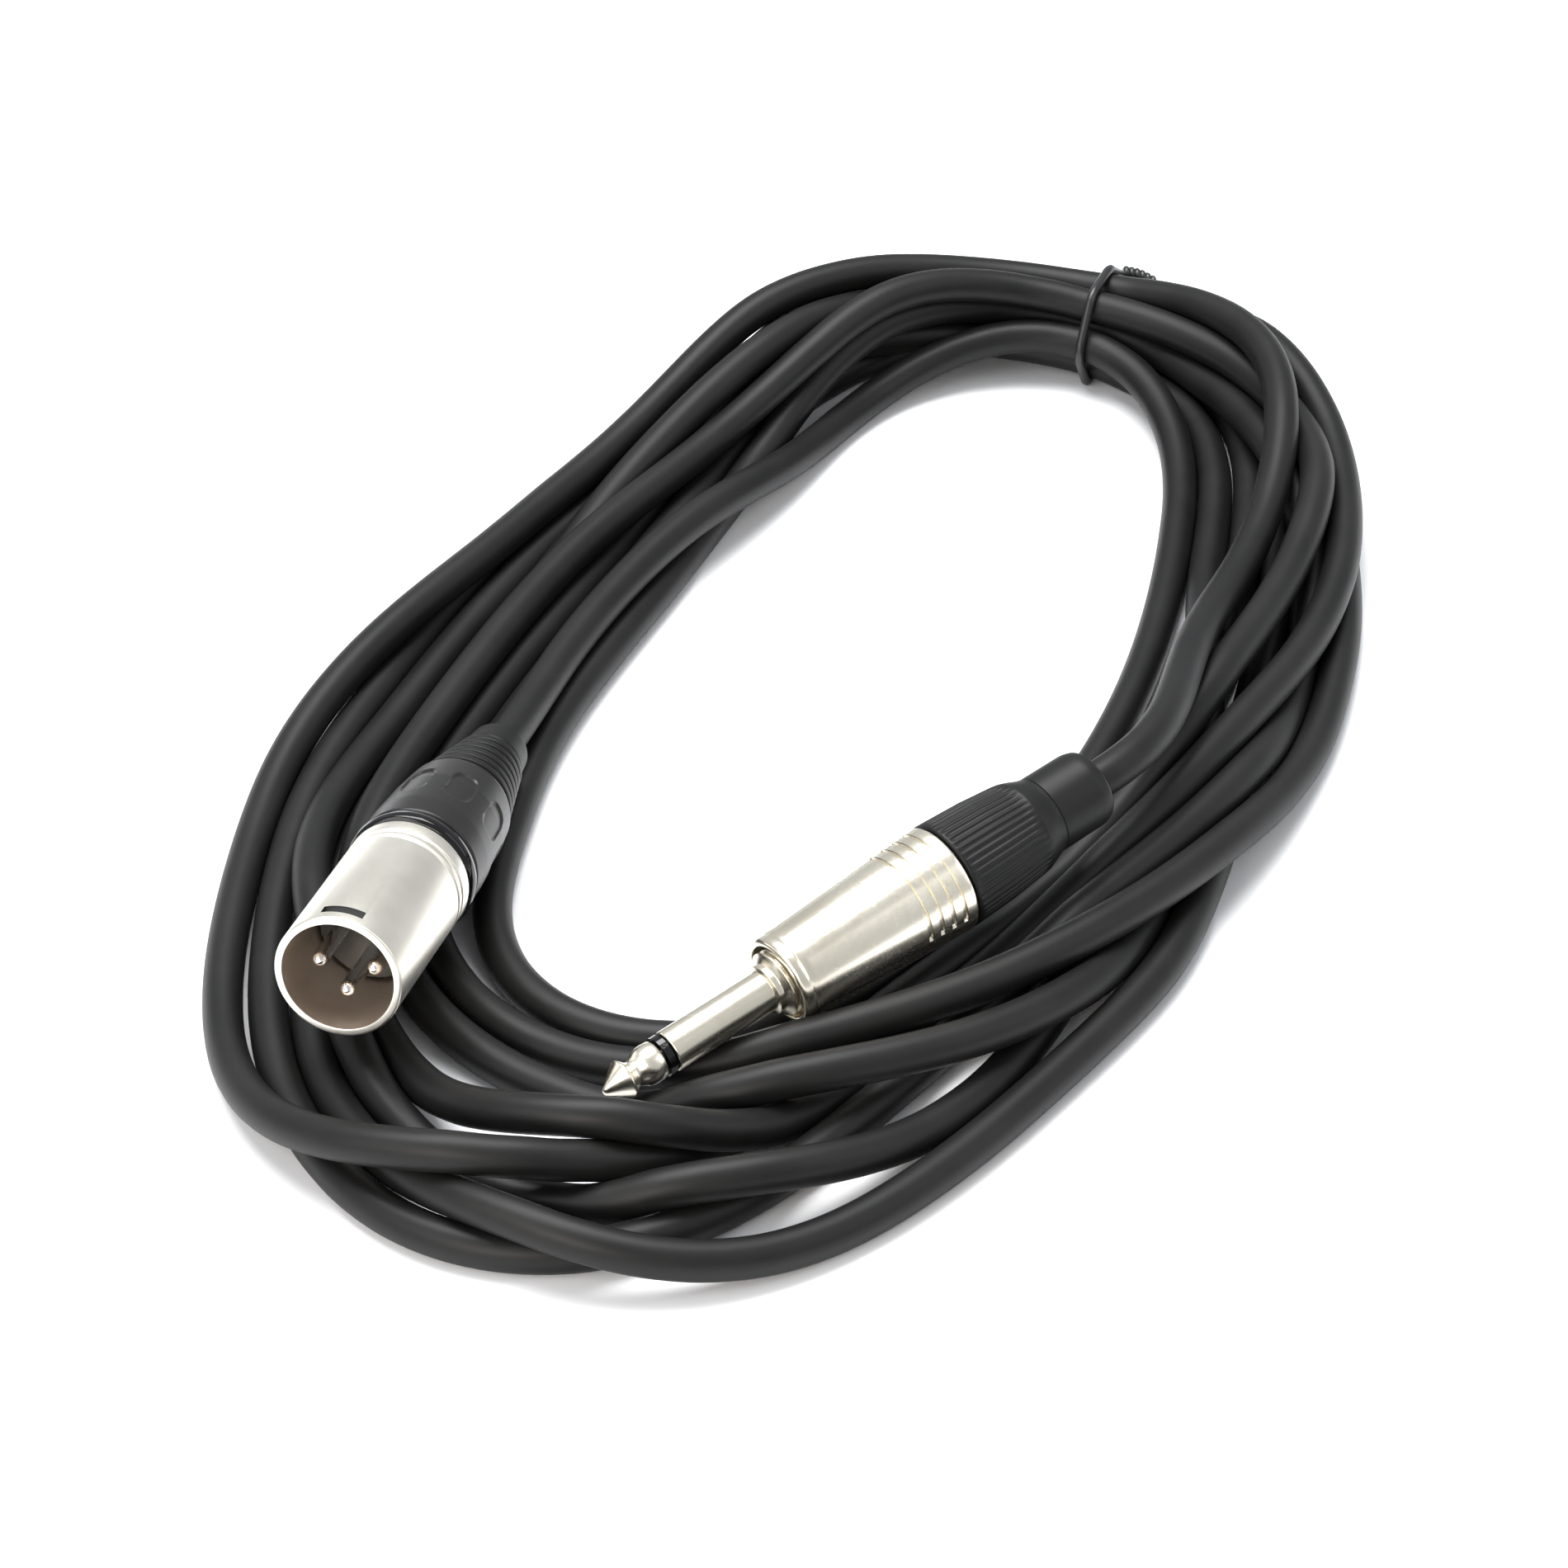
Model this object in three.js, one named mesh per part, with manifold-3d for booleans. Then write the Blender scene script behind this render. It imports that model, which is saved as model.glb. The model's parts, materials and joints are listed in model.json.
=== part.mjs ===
// A microphone cable wound in a loose oval hank: a male three-pin XLR on one end, a 6.35 mm
// mono jack on the other, and a wire tie round the back of the loops.
//
// Units are millimetres and +Z is up. The hank lies on z = 0, its long way along Y.
// Each connector is drawn along its own Y axis, from its front end backwards, and is then
// turned and lowered onto the loops. Pieces that touch keep a gap of about 0.3 mm.

import * as THREE from 'three';
import { mergeVertices } from 'three/addons/utils/BufferGeometryUtils.js';
import Module from 'manifold-3d';

const wasm = await Module();
wasm.setup();

// ------------------------------------------------------------------ driving dimensions
const GAP = 0.35;                 // between pieces that touch
const CORD_R = 3.0;               // jacket radius of the 6 mm cable
const BORE_R = CORD_R + 0.4;      // hole that the cable runs through
const UNSCREW = 5.0;              // travel of a gland nut as it unscrews

const HANK_CENTRE = [5.78, 12.04]; // middle of the loops, in the plan below

// Plan of the hank: centre x and y, half width and height of the bundle, from the tie
// anticlockwise. It is tall and round where it is tied and spreads to a low, wide band.
const HANK = [
  [58, 134, 12.3, 18.4], [37, 139, 9.8, 17], [17, 131.5, 12, 14], [-4, 111, 13.5, 12],
  [-25, 79, 14, 12], [-42, 45, 14.5, 12], [-54, 16, 15.5, 12], [-61, -14, 18.5, 12],
  [-62.5, -45, 21, 12], [-55, -75, 24, 12], [-37, -95, 25.5, 12], [-13, -99.5, 24.5, 12],
  [8, -89, 21, 12], [30, -66, 18.5, 12], [52, -33, 18, 12], [69, 8, 15.5, 12],
  [79, 50, 15, 12], [82, 84, 12.5, 14], [79.5, 108, 10.5, 17], [71, 125, 11, 18.4],
];

// Distances back along the XLR are drawn a little long and multiplied by its squeeze.
const XLR = {
  at: [-63, -79, 22], turn: 14.5, tip: 8.3,     // mouth, degrees right of +Y, degrees up
  squeeze: 0.945,
  shellR: 9.5, boreR: 8.35, threadR: 8.05, shellL: 33,
  insert: [15.5, 26.5], pinR: 1.175, pinRing: 4.1, pinTip: 3.5,
  ring: [33.3, 36.1], ringR: 10,
  nut: [27.2, 36.5, 58.5], chuck: [37.5, 50], jacket: 43.5,
  boot: [52, 58.9, 80.4],
};

const JACK = {
  at: [-25.5, -88.8, 9], turn: 52.2, tip: -9.1,   // tip of the plug, as above
  squeeze: 1,
  shaftR: 3.175, tipL: 9.6, barrel: [31.5, 62.3], barrelR: [7.0, 8.6],
  nut: [55, 62.7, 81.3], chuck: [53, 68], jacket: 52,
  boot: [74, 81.65, 91.4],
};

// Where the two ends of the cable run, from the back of each connector into the hank.
const XLR_LEAD = [[-38.3, 14, 8.6], [-33.4, 27, 7.2], [-26.6, 44, 5.6], [-17.5, 63, 4.6]];
const JACK_LEAD = [[56.3, -23.6, 25], [60.4, -13.5, 24.3], [64, 8, 21.6], [70.4, 34, 19],
  [78.6, 57, 17.6], [83.5, 73, 17]];

// The tie's loop is drawn round and then drawn out to an oval, wide by high.
const TIE = { at: [58, 134], turn: 98, r: 9.55, oval: [1.366, 0.9686], wire: 0.75, slot: 2.3,
  waist: 8.5 };

// ------------------------------------------------------------------ materials
const material = (color, roughness, metalness = 0) =>
  new THREE.MeshStandardMaterial({ color, roughness, metalness });

const SATIN_NICKEL = material(0xcfcbbd, 0.42, 1);
const BRIGHT_NICKEL = material(0xd8d2c0, 0.16, 1);
const BRASS = material(0xc9a25a, 0.3, 1);
const TIN = material(0xc4c4c0, 0.35, 1);
const GLOSS_BLACK = material(0x0b0b10, 0.12);
const SATIN_BLACK = material(0x35383a, 0.42);
const RUBBER = material(0x242424, 0.72);
const JACKET = material(0x262524, 0.55);
const GLAND_BLACK = material(0x1c1c1e, 0.5);
const WHITE_PLASTIC = material(0xe6e3da, 0.5);
const RED_WIRE = material(0xb3261e, 0.45);
const WHITE_WIRE = material(0xece9e2, 0.45);
const COPPER = material(0xb87350, 0.4, 1);

// ------------------------------------------------------------------ solids and booleans
// A mesh whose shared corners are merged becomes a manifold solid, and back again.
function solid(geometry) {
  const bare = geometry.clone();
  bare.deleteAttribute('normal');
  bare.deleteAttribute('uv');
  const merged = mergeVertices(bare, 1e-4);
  return new wasm.Manifold(new wasm.Mesh({
    numProp: 3,
    vertProperties: Float32Array.from(merged.attributes.position.array),
    triVerts: Uint32Array.from(merged.index.array),
  }));
}

function geometryOf(manifold) {
  const mesh = manifold.getMesh();
  const geometry = new THREE.BufferGeometry();
  geometry.setAttribute('position', new THREE.BufferAttribute(mesh.vertProperties, 3));
  geometry.setIndex(new THREE.BufferAttribute(mesh.triVerts, 1));
  geometry.computeVertexNormals();
  return geometry;
}

const cut = (body, ...tools) =>
  geometryOf(tools.reduce((left, tool) => left.subtract(solid(tool)), solid(body)));
const join = (...bodies) =>
  geometryOf(bodies.slice(1).reduce((sum, body) => sum.add(solid(body)), solid(bodies[0])));

// A turned piece: the outline is a list of [radius, y], closed if it is off the axis.
function turned(outline, segments = 24) {
  const points = outline.map(([r, y]) => new THREE.Vector2(r, y));
  if (points[0].x > 0) points.push(points[0].clone());
  return new THREE.LatheGeometry(points, segments);
}

const sleeve = (inner, outer, y0, y1, segments = 24) =>
  turned([[inner, y0], [outer, y0], [outer, y1], [inner, y1]], segments);
const rod = (r, y0, y1, segments = 12) =>
  turned([[0, y0], [r, y0], [r, y1], [0, y1]], segments);
const block = (w, l, h, x, y, z) => new THREE.BoxGeometry(w, l, h).translate(x, y, z);

// A round bar of any radius along a smooth curve through the points.
function bar(points, r, sides = 10, steps = 4) {
  const path = new THREE.CatmullRomCurve3(points.map((p) => new THREE.Vector3(...p)));
  const section = new THREE.Shape();
  for (let i = 0; i < sides; i += 1) {
    const angle = (2 * Math.PI * i) / sides;
    section[i ? 'lineTo' : 'moveTo'](r * Math.cos(angle), r * Math.sin(angle));
  }
  return new THREE.ExtrudeGeometry(section, { steps, extrudePath: path });
}

// Fine lengthwise grooves: every second column of outer corners is pressed in.
function fluted(geometry, y0, y1, depth) {
  const position = geometry.attributes.position;
  const columns = geometry.parameters.segments;
  for (let i = 0; i < position.count; i += 1) {
    const [x, y, z] = [position.getX(i), position.getY(i), position.getZ(i)];
    const r = Math.hypot(x, z);
    const column = Math.round((Math.atan2(x, z) / (2 * Math.PI)) * columns);
    if (y < y0 || y > y1 || r < 7.15 || column % 2 === 0) continue;
    position.setXYZ(i, (x * (r - depth)) / r, y, (z * (r - depth)) / r);
  }
  return geometry;
}

function mesh(name, geometry, look) {
  const piece = new THREE.Mesh(geometry, look);
  piece.name = name;
  return piece;
}

// ------------------------------------------------------------------ XLR plug
// Die-cast shell: open at the front, two grooves and a thread bore at the back, and a slot
// on top behind the rim where a socket's latch catches.
function xlrShell() {
  const { shellR: R, boreR, threadR, shellL: L } = XLR;
  const groove = (y) => [[R, y], [R - 0.3, y + 0.15], [R - 0.3, y + 0.65], [R, y + 0.8]];
  const outline = [[boreR, 0], [R - 0.25, 0], [R, 0.3], ...groove(27.4), ...groove(29.2),
    [R, L - 0.3], [R - 0.25, L], [threadR, L], [threadR, 27.0], [boreR, 26.8]];
  return cut(turned(outline, 32), block(5.2, 1.1, 4, 0, 2.5, R));
}

// The three pins stand at a quarter turn from each other: left, right and below.
const pinPlace = (i) => {
  const angle = Math.PI * [1, 0, 1.5][i];
  return [XLR.pinRing * Math.cos(angle), 0, XLR.pinRing * Math.sin(angle)];
};

function xlrInsert() {
  const [y0, y1] = XLR.insert;
  const holes = [0, 1, 2].map((i) => rod(XLR.pinR + 0.3, y0 - 1, y1 + 1).translate(...pinPlace(i)));
  return cut(turned([[0, y0], [7.7, y0], [8.0, y0 + 0.3], [8.0, y1], [0, y1]]), ...holes,
    block(1.6, 12, 3, 0, y0 + 4, 8.0));
}

// A machined pin with a round nose and a solder cup behind the insert.
function xlrPin(i) {
  const { pinR: r, pinTip: y0, insert: [, y1] } = XLR;
  const nose = [0, 0.4, 0.75, 1].map((t) =>
    [r * Math.sin(t * Math.PI / 2), y0 + r * (1 - Math.cos(t * Math.PI / 2))]);
  return turned([...nose, [r, y1 + 0.35], [1.45, y1 + 0.35], [1.45, 33], [0.95, 33],
    [0.95, 29.5], [0, 29.5]], 12).translate(...pinPlace(i));
}

const xlrGroundTab = () => block(2.4, 6, 0.5, 0, XLR.insert[1] + 3.4, 6.0);

function xlrCodingRing() {
  const [y0, y1] = XLR.ring;
  const R = XLR.ringR;
  const inner = XLR.threadR;
  return turned([[inner, y0], [R - 0.7, y0], [R - 0.2, y0 + 0.45], [R, (y0 + y1) / 2],
    [R - 0.2, y1 - 0.45], [R - 0.7, y1], [inner, y1]], 30);
}

// Split collet: the nut's cone squeezes its fingers onto the jacket.
function chuck([y0, y1], wide, throat, tip) {
  const slots = [0, 1, 2].map((i) =>
    block(0.8, y1 - throat - 1, 20, 0, (throat + 1 + y1) / 2 + 0.5, 0).rotateY(i * Math.PI / 3));
  return cut(turned([[wide - 0.8, y0], [wide, y0], [wide, throat], [tip, y1], [BORE_R, y1],
    [BORE_R, throat + 0.4], [wide - 0.8, throat - 3]], 24), ...slots);
}

// Gland nut: a threaded neck in the shell and a tapered body with eight finger dimples.
function xlrNut() {
  const [y0, y1, y2] = XLR.nut;
  const body = turned([[6.7, y0], [7.75, y0], [7.75, y1], [9.3, y1], [9.65, y1 + 0.4],
    [9.65, y1 + 5], [9.2, y1 + 14], [8.5, y2 - 0.9], [8.1, y2], [6.6, y2], [6.6, y2 - 1.5],
    [7.3, y2 - 1.7], [7.3, 50.6], [6.7, 50.3]], 32);
  const dimples = [...Array(8)].map((_, i) =>
    new THREE.SphereGeometry(1, 8, 5).scale(2.4, 4.8, 0.7).translate(0, y1 + 12, 9.65)
      .rotateY((i + 0.5) * Math.PI / 4));
  return cut(body, ...dimples);
}

// Rubber boot: a flange held in the nut, six ribs and a smooth end round the cable.
function xlrBoot() {
  const [y0, y1, y2] = XLR.boot;
  const ribs = [];
  for (let i = 0; i < 6; i += 1) {
    const y = y1 + 0.5 + 2.3 * i;
    const r = 7.45 - 0.29 * i;
    ribs.push([r - 0.55, y], [r, y + 0.5], [r, y + 1.6]);
  }
  return turned([[BORE_R, y0], [7.0, y0], [7.0, 56.5], [6.25, 56.5], [6.25, y1], [7.0, y1],
    ...ribs, [5.5, y1 + 14.6], [4.7, y2 - 0.8], [4.2, y2], [BORE_R, y2]]);
}

const xlrWire = (i, r) => {
  const [x, , z] = pinPlace(i);
  return bar([[x, 33.35, z], [x, 35.5, z], [x * 0.45, 39.5, z * 0.45],
    [x * 0.35, XLR.jacket - 0.6, z * 0.35]], r, 8, 6);
};

// ------------------------------------------------------------------ jack plug
// Tip and centre rod in one piece: a cone, a waist that a socket's spring drops into, a ball.
function jackTip() {
  return turned([[0, 0], [0.45, 0.12], [0.8, 0.5], [2.95, 3.5], [3.05, 3.75], [2.9, 4.0],
    [2.0, 5.1], [2.05, 5.5], [2.75, 6.7], [3.0, 7.8], [2.95, JACK.tipL], [1.2, JACK.tipL],
    [1.2, 37.9], [0, 37.9]], 24);
}

// Insulator: the black ring behind the tip and the tube that keeps the rod off the sleeve.
const jackInsulator = () => turned([[1.5, 9.95], [3.1, 9.95], [3.1, 11.1], [2.2, 11.1],
  [2.2, 35.4], [1.5, 35.4]], 24);

// Sleeve: the plug's long contact, then a stepped, threaded collar and a flange.
function jackSleeve() {
  const ridges = [];
  for (let y = 30.6; y < 34; y += 1.1) ridges.push([4.6, y], [5.15, y + 0.3], [5.15, y + 0.6]);
  return turned([[2.55, 11.45], [3.0, 11.45], [JACK.shaftR, 11.6], [JACK.shaftR, 29.0],
    [3.9, 29.2], [3.9, 30.1], ...ridges, [5.5, 34.4], [5.5, 36.0], [2.55, 36.0]]);
}

const jackRearWasher = () => sleeve(1.5, 5.0, 36.35, 37.7, 24);
const jackTipLug = () => cut(block(3.2, 8.6, 0.5, 0, 42.55, 0),
  rod(0.7, -2, 2, 10).rotateX(Math.PI / 2).translate(0, 45, 0));
const jackGroundLug = () => block(2.6, 11.4, 0.5, 0, 43.3, 5.55);

// Tapered barrel with a rounded mouth. Four grooves near its back run round each side but
// stop short, square ended, on two plain strips.
function jackBarrel() {
  const [y0, y1] = JACK.barrel;
  const [r0, r1] = JACK.barrelR;
  const outer = (y) => r0 + ((r1 - r0) * (y - y0 - 1)) / (y1 - y0 - 1);
  const tube = turned([[5.9, y0], [6.5, y0], [r0 - 0.1, y0 + 0.4], [r0, y0 + 1],
    [outer(y1 - 0.3), y1 - 0.3], [r1 - 0.3, y1], [7.2, y1], [7.2, 54], [7.0, 53.7],
    [7.0, 37.2], [5.9, 36.6]], 30);
  const grooves = [0, 1, 2, 3].map((i) => {
    const y = 53.2 + 2.1 * i;
    const band = sleeve(outer(y) - 0.4, 12, y, y + 0.8, 30);
    return cut(band, block(30, 3, 5.5, 0, y, 0).rotateY(-0.5));
  });
  return cut(tube, ...grooves);
}

const jackLiner = () => sleeve(6.25, 6.65, 38.2, 54.6);

function jackNut() {
  const [y0, y1, y2] = JACK.nut;
  return fluted(turned([[6.0, y0], [6.85, y0], [6.85, y1], [8.3, y1], [8.5, y1 + 0.5],
    [8.15, y1 + 8], [7.55, y1 + 14], [7.1, y1 + 16.6], [6.3, y2], [5.25, y2],
    [5.25, y2 - 2.2], [6.0, y2 - 2.4]], 48), y1 + 0.3, y1 + 14.2, 0.32);
}

// Rubber collar: smooth outside, with a rounded end, and a flange held in the nut.
function jackBoot() {
  const [y0, y1, y2] = JACK.boot;
  return turned([[BORE_R, y0], [5.65, y0], [5.65, 78.5], [4.9, 78.5], [4.9, y1], [5.95, y1],
    [5.95, y2 - 1.2], [5.5, y2 - 0.3], [4.8, y2], [BORE_R, y2]]);
}

const jackHotWire = () => bar([[0, 47.2, 0], [0, 49, 0.1], [0, JACK.jacket - 0.35, 0.4]], 0.65, 8, 3);
const jackShieldTail = () => bar([[0, 49.4, 5.4], [0, 50.5, 4.2], [0, JACK.jacket - 0.9, 2.6]],
  0.6, 8, 4);

// ------------------------------------------------------------------ placing a connector
// The connector's own Y axis leans "tip" degrees nose up and heads "turn" degrees right of +Y.
function placed(connector, pieces) {
  const group = new THREE.Group();
  const rad = THREE.MathUtils.degToRad;
  group.rotation.set(-rad(connector.tip), 0, -rad(connector.turn), 'ZYX');
  group.position.set(...connector.at);
  for (const piece of pieces) piece.geometry.scale(1, connector.squeeze, 1);
  group.add(...pieces);
  group.updateMatrixWorld(true);
  return group;
}

const xlr = placed(XLR, [
  mesh('xlr_shell', xlrShell(), SATIN_NICKEL),
  mesh('xlr_insert', xlrInsert(), GLOSS_BLACK),
  ...[0, 1, 2].map((i) => mesh(`xlr_pin_${i + 1}`, xlrPin(i), TIN)),
  mesh('xlr_ground_tab', xlrGroundTab(), BRASS),
  mesh('xlr_coding_ring', xlrCodingRing(), GLOSS_BLACK),
  mesh('xlr_chuck', chuck(XLR.chuck, 6.2, 42.5, 5.0), WHITE_PLASTIC),
  mesh('xlr_nut', xlrNut(), SATIN_BLACK),
  mesh('xlr_boot', xlrBoot(), RUBBER),
  mesh('xlr_wire_hot', xlrWire(0, 0.65), RED_WIRE),
  mesh('xlr_wire_cold', xlrWire(1, 0.65), WHITE_WIRE),
  mesh('xlr_shield_tail', xlrWire(2, 0.6), COPPER),
]);

const jack = placed(JACK, [
  mesh('jack_tip', jackTip(), BRIGHT_NICKEL),
  mesh('jack_insulator', jackInsulator(), GLOSS_BLACK),
  mesh('jack_sleeve', jackSleeve(), BRIGHT_NICKEL),
  mesh('jack_rear_washer', jackRearWasher(), GLOSS_BLACK),
  mesh('jack_tip_lug', jackTipLug(), BRASS),
  mesh('jack_ground_lug', jackGroundLug(), BRASS),
  mesh('jack_barrel', jackBarrel(), BRIGHT_NICKEL),
  mesh('jack_liner', jackLiner(), WHITE_PLASTIC),
  mesh('jack_chuck', chuck(JACK.chuck, 5.6, 58.5, 4.6), WHITE_PLASTIC),
  mesh('jack_nut', jackNut(), GLAND_BLACK),
  mesh('jack_boot', jackBoot(), RUBBER),
  mesh('jack_wire_hot', jackHotWire(), RED_WIRE),
  mesh('jack_shield_tail', jackShieldTail(), COPPER),
]);

// ------------------------------------------------------------------ cord
// A lead starts in its connector's chuck, runs straight while the gland can slide back over
// it, and then follows its own points.
function leadPoints(group, connector, bends) {
  const along = (y) => group.localToWorld(new THREE.Vector3(0, y, 0)).toArray();
  const jacket = connector.jacket * connector.squeeze;
  const back = connector.boot[2] * connector.squeeze;
  return [along(jacket), along((jacket + back) / 2), along(back), along(back + UNSCREW + 1),
    ...bends];
}

const xlrLeadPoints = leadPoints(xlr, XLR, XLR_LEAD);
const jackLeadPoints = leadPoints(jack, JACK, JACK_LEAD);

// The room that a connector takes on top of the hank, its gland unscrewed.
function clearance(group, profile) {
  return turned([[0, profile[0][1]], ...profile, [0, profile[profile.length - 1][1]]], 16)
    .applyMatrix4(group.matrixWorld);
}

// One closed solid of the outer shape of the wound loops: a chamfered band of changing
// width and height, with room under the connectors, leads and tie.
function hank() {
  const curve = (pick) => new THREE.CatmullRomCurve3(HANK.map(pick), true);
  const centre = curve(([x, y]) => new THREE.Vector3(x, y, 0));
  const size = curve(([, , half, height]) => new THREE.Vector3(half, height, 0));
  const stations = 48;
  const corners = 8;
  const position = [];
  const index = [];
  for (let i = 0; i < stations; i += 1) {
    const c = centre.getPoint(i / stations);
    const t = centre.getTangent(i / stations);
    const { x: half, y: height } = size.getPoint(i / stations);
    const ch = 0.28 * height;
    const section = [[-half + ch, 0], [half - ch, 0], [half, ch], [half, height - ch],
      [half - ch, height], [-half + ch, height], [-half, height - ch], [-half, ch]];
    for (const [out, z] of section) position.push(c.x + t.y * out, c.y - t.x * out, z);
    for (let k = 0; k < corners; k += 1) {
      const [a, b] = [i * corners + k, i * corners + (k + 1) % corners];
      const [d, e] = [a, b].map((v) => (v + corners) % (stations * corners));
      index.push(a, e, b, a, d, e);
    }
  }
  const band = new THREE.BufferGeometry();
  band.setAttribute('position', new THREE.Float32BufferAttribute(position, 3));
  band.setIndex(index);
  const grown = CORD_R + GAP;
  return cut(band,
    clearance(xlr, [[10.4, -1], [10.4, 43 + UNSCREW], [8.9, 64 + UNSCREW], [5.2, 87]]),
    clearance(jack, [[3.6, -1], [3.6, 29], [7.4, 31], [9.1, 63], [8.9, 74 + UNSCREW],
      [6.5, 84 + UNSCREW], [6.5, 92 + UNSCREW]]),
    bar(xlrLeadPoints.concat([[-17.3, 63.5, 4.6]]), grown, 8, 16),
    bar(jackLeadPoints.concat([[83.7, 73.5, 17]]), grown, 8, 18),
    placedAtTie(sleeve(TIE.waist, 30, -TIE.slot / 2, TIE.slot / 2)));
}

// ------------------------------------------------------------------ wire tie
const placedAtTie = (geometry) => geometry
  .scale(TIE.oval[0], 1, TIE.oval[1])
  .rotateZ(-THREE.MathUtils.degToRad(TIE.turn))
  .translate(...TIE.at, (TIE.r + TIE.wire) * TIE.oval[1]);

function tieLoop() {
  const ring = [...Array(6)].map((_, i) =>
    [TIE.r + TIE.wire * Math.cos(i * Math.PI / 3), TIE.wire * Math.sin(i * Math.PI / 3)]);
  return placedAtTie(turned(ring));
}

// The twisted ends, folded over beside the loop.
const tieTwist = () => bar([[63, 140.4, 20], [65.2, 139.8, 20.4], [68.2, 138.8, 20.2]],
  1.2, 8, 3);

const root = new THREE.Group();
root.add(
  xlr,
  jack,
  mesh('cord_lead_xlr', bar(xlrLeadPoints, CORD_R, 10, 16), JACKET),
  mesh('cord_lead_jack', bar(jackLeadPoints, CORD_R, 10, 20), JACKET),
  mesh('cord_coil', hank(), JACKET),
  mesh('tie_loop', tieLoop(), SATIN_BLACK),
  mesh('tie_twist', tieTwist(), SATIN_BLACK),
);
root.position.set(-HANK_CENTRE[0], -HANK_CENTRE[1], 0);

export default root;
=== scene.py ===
# %% [markdown]
# # A microphone cable in a loose hank
# One six-millimetre cable lies in eight loose turns, with a male three-pin XLR on one end, a
# 6.35 mm jack plug on the other and a wire tie round the back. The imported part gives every
# place and size. The steps below make its finished look: the camera, the cable, the two
# connectors, the tie, their finishes, and a pale studio.

# %% Load the frame
import json
from math import cos, pi, radians, sin, tau

import bmesh
import bpy
import numpy as np
from mathutils import Matrix, Vector


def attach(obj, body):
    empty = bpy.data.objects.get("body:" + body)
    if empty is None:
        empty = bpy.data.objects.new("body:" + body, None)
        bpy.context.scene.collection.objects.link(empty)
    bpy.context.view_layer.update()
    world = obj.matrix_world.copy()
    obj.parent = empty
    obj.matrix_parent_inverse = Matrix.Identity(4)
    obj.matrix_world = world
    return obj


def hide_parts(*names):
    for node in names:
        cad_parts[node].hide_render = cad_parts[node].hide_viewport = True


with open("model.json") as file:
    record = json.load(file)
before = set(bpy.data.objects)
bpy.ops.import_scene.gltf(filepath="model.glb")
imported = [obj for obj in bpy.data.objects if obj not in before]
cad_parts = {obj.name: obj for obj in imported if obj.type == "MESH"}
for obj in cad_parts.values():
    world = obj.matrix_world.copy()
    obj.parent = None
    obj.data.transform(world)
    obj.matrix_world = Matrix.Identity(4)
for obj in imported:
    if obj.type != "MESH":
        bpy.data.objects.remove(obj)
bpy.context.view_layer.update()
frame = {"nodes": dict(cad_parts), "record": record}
MM = 0.001

# %% [markdown]
# ## Camera
# It looks down at 35 degrees along the hank's long way, from 0.72 m. The lens is 105 mm on a
# 36 mm sensor. The hank's middle lies a little right of and beyond the picture's middle.

# %% Camera
TIP = radians(35)
AIM = Vector((-5.78, -12.04, 0)) * MM
REACH = 722 * MM

camera = bpy.data.objects.new("camera", bpy.data.cameras.new("camera"))
camera.data.lens, camera.data.sensor_width = 104.93, 36
camera.data.clip_start, camera.data.clip_end = 0.02, 20  # metres
look = Vector((0, cos(TIP), -sin(TIP)))
camera.location = AIM - look * REACH
camera.rotation_euler = (pi / 2 - TIP, 0, 0)
bpy.context.collection.objects.link(camera)
bpy.context.scene.camera = camera
print("camera stands at, mm:", [round(c / MM) for c in camera.location])

# %% [markdown]
# ## Sizes shared with the part
# These repeat the part's own dimensions. A connector is drawn along its own Y axis, from its
# front end backwards, then turned about Z, tipped about X and set down at its place. As in
# the part, distances back along the XLR are drawn a little long and then squeezed.

# %% Dimensions
CORD_D = 6.0 * MM
XLR = dict(at=np.array([-63, -79, 22]) * MM, turn=14.5, tip=8.3, squeeze=0.945)
JACK = dict(at=np.array([-25.5, -88.8, 9]) * MM, turn=52.2, tip=-9.1, squeeze=1.0)
HANK_CENTRE = np.array([5.78, 12.04]) * MM
XLR_BOOT_END, JACK_BOOT_END = 80.4 * MM, 91.4 * MM


def pose(end):
    """The turn and place that carry a connector's own frame into the row frame."""
    turned = Matrix.Rotation(-radians(end["turn"]), 3, "Z") @ Matrix.Rotation(
        -radians(end["tip"]), 3, "X")
    return np.array(turned), end["at"] - np.append(HANK_CENTRE, 0)


def along(end, y):
    """The point on a connector's axis at distance y behind its front end."""
    turned, at = pose(end)
    return at + turned[:, 1] * y * end["squeeze"]


print("XLR boot ends at", (along(XLR, XLR_BOOT_END) / MM).round(1))
print("jack boot ends at", (along(JACK, JACK_BOOT_END) / MM).round(1))

# %% [markdown]
# ## The cable's route
# The hank is a closed way round: twenty stations give its middle, anticlockwise from the tie.
# Each turn is then written as where it lies at stations along that way: how far out from the
# middle, and on which layer. A turn starts and ends in its own place in the tie.

# %% Stations, turns and places in the tie
STATIONS = np.array([
    (58, 134), (37, 139), (17, 131.5), (-4, 111), (-25, 79), (-42, 45), (-54, 16), (-61, -14),
    (-62.5, -45), (-55, -75), (-37, -95), (-13, -99.5), (8, -89), (30, -66), (52, -33),
    (69, 8), (79, 50), (82, 84), (79.5, 108), (71, 125)]) * MM

LAYER = 5.2 * MM  # how much higher each layer lies
OVER_WIRE = 1.7 * MM  # the cable's rise over the tie's wire

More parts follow.
